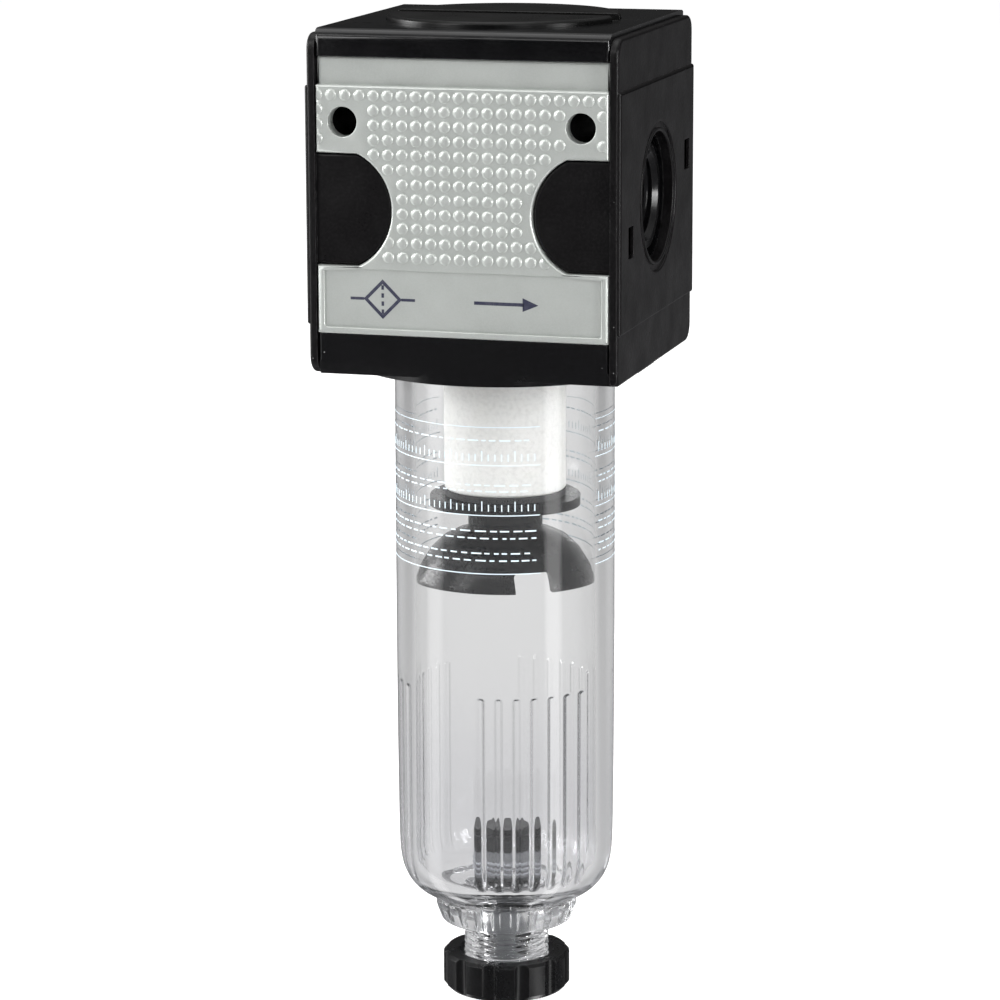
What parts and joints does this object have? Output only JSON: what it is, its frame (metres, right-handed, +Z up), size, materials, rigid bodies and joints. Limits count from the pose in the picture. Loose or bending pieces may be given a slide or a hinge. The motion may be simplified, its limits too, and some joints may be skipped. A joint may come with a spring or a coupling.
{
  "type": "compressed air filter",
  "caption": "Compressed air filter: square black head with side ports and grey face plates, clear bowl with sintered element and baffle, and a turn-to-drain knob below.",
  "frame": {"origin": "centre of the rear mounting face at the height of the port axis", "axes": "+X towards the outlet port, +Y out of the rear face towards the wall, +Z up; the bowl axis is 25 mm in front of the origin"},
  "size_m": [0.052, 0.05, 0.1702],
  "materials": {
    "die_cast_black": "satin black stoved paint on die-cast zinc",
    "cover_black": "fine-grained moulded plastic",
    "plug_black": "fine-grained moulded plastic",
    "plate_grey": "silver-grey moulded plastic with a light metallic flake",
    "inner_black": "moulded plastic, semi-gloss",
    "knob_black": "moulded plastic, satin",
    "sinter_white": "porous sintered polyethylene",
    "clear_bowl": "clear polycarbonate, moulded",
    "seal_rubber": "black nitrile rubber",
    "rod_brass": "turned brass",
    "clip_steel": "stamped spring steel"
  },
  "bodies": {
    "head": {"head_body": "die_cast_black", "front_plate": "plate_grey", "rear_plate": "plate_grey", "inlet_cover": "cover_black", "outlet_cover": "cover_black", "guide_vanes": "inner_black", "filter_element": "sinter_white", "upper_gasket": "seal_rubber", "tie_rod": "rod_brass"},
    "plug_ring": {"top_plug_seal": "seal_rubber"},
    "plug": {"top_plug": "plug_black"},
    "bowl_ring": {"bowl_seal": "seal_rubber"},
    "bowl": {"bowl": "clear_bowl"},
    "baffle_ring": {"lower_gasket": "seal_rubber"},
    "baffle": {"baffle": "inner_black"},
    "stem": {"drain_stem": "inner_black", "drain_seal": "seal_rubber", "stem_ring": "seal_rubber", "knob_clip": "clip_steel"},
    "knob": {"drain_knob": "knob_black"}
  },
  "joints": [
    {"name": "bowl_drop", "type": "slide", "parent": "head", "child": "bowl_ring", "axis": [0, 0, -1], "range_m": [0, 0.006]},
    {"name": "bowl_turn", "type": "hinge", "parent": "bowl_ring", "child": "bowl", "pos_m": [0, -0.025, -0.02], "axis": [0, 0, -1], "range_deg": [0, 1080.1]},
    {"name": "plug_lift", "type": "slide", "parent": "head", "child": "plug_ring", "axis": [0, 0, 1], "range_m": [0, 0.006]},
    {"name": "plug_turn", "type": "hinge", "parent": "plug_ring", "child": "plug", "pos_m": [0, -0.025, 0.028], "axis": [0, 0, 1], "range_deg": [0, 1440.1]},
    {"name": "baffle_drop", "type": "slide", "parent": "head", "child": "baffle_ring", "axis": [0, 0, -1], "range_m": [0, 0.004]},
    {"name": "baffle_turn", "type": "hinge", "parent": "baffle_ring", "child": "baffle", "pos_m": [0, -0.025, -0.055], "axis": [0, 0, -1], "range_deg": [0, 1800.1]},
    {"name": "drain_lift", "type": "slide", "parent": "bowl", "child": "stem", "axis": [0, 0, 1], "range_m": [0, 0.0025]},
    {"name": "drain_turn", "type": "hinge", "parent": "stem", "child": "knob", "pos_m": [0, -0.025, -0.133], "axis": [0, 0, 1], "range_deg": [0, 720.1]}
  ],
  "couplings": [
    {"joint": "bowl_turn", "follows": "bowl_drop", "rad_per_m": 3141.6},
    {"joint": "plug_turn", "follows": "plug_lift", "rad_per_m": 4188.8},
    {"joint": "baffle_turn", "follows": "baffle_drop", "rad_per_m": 7854},
    {"joint": "drain_turn", "follows": "drain_lift", "rad_per_m": 5026.5}
  ]
}
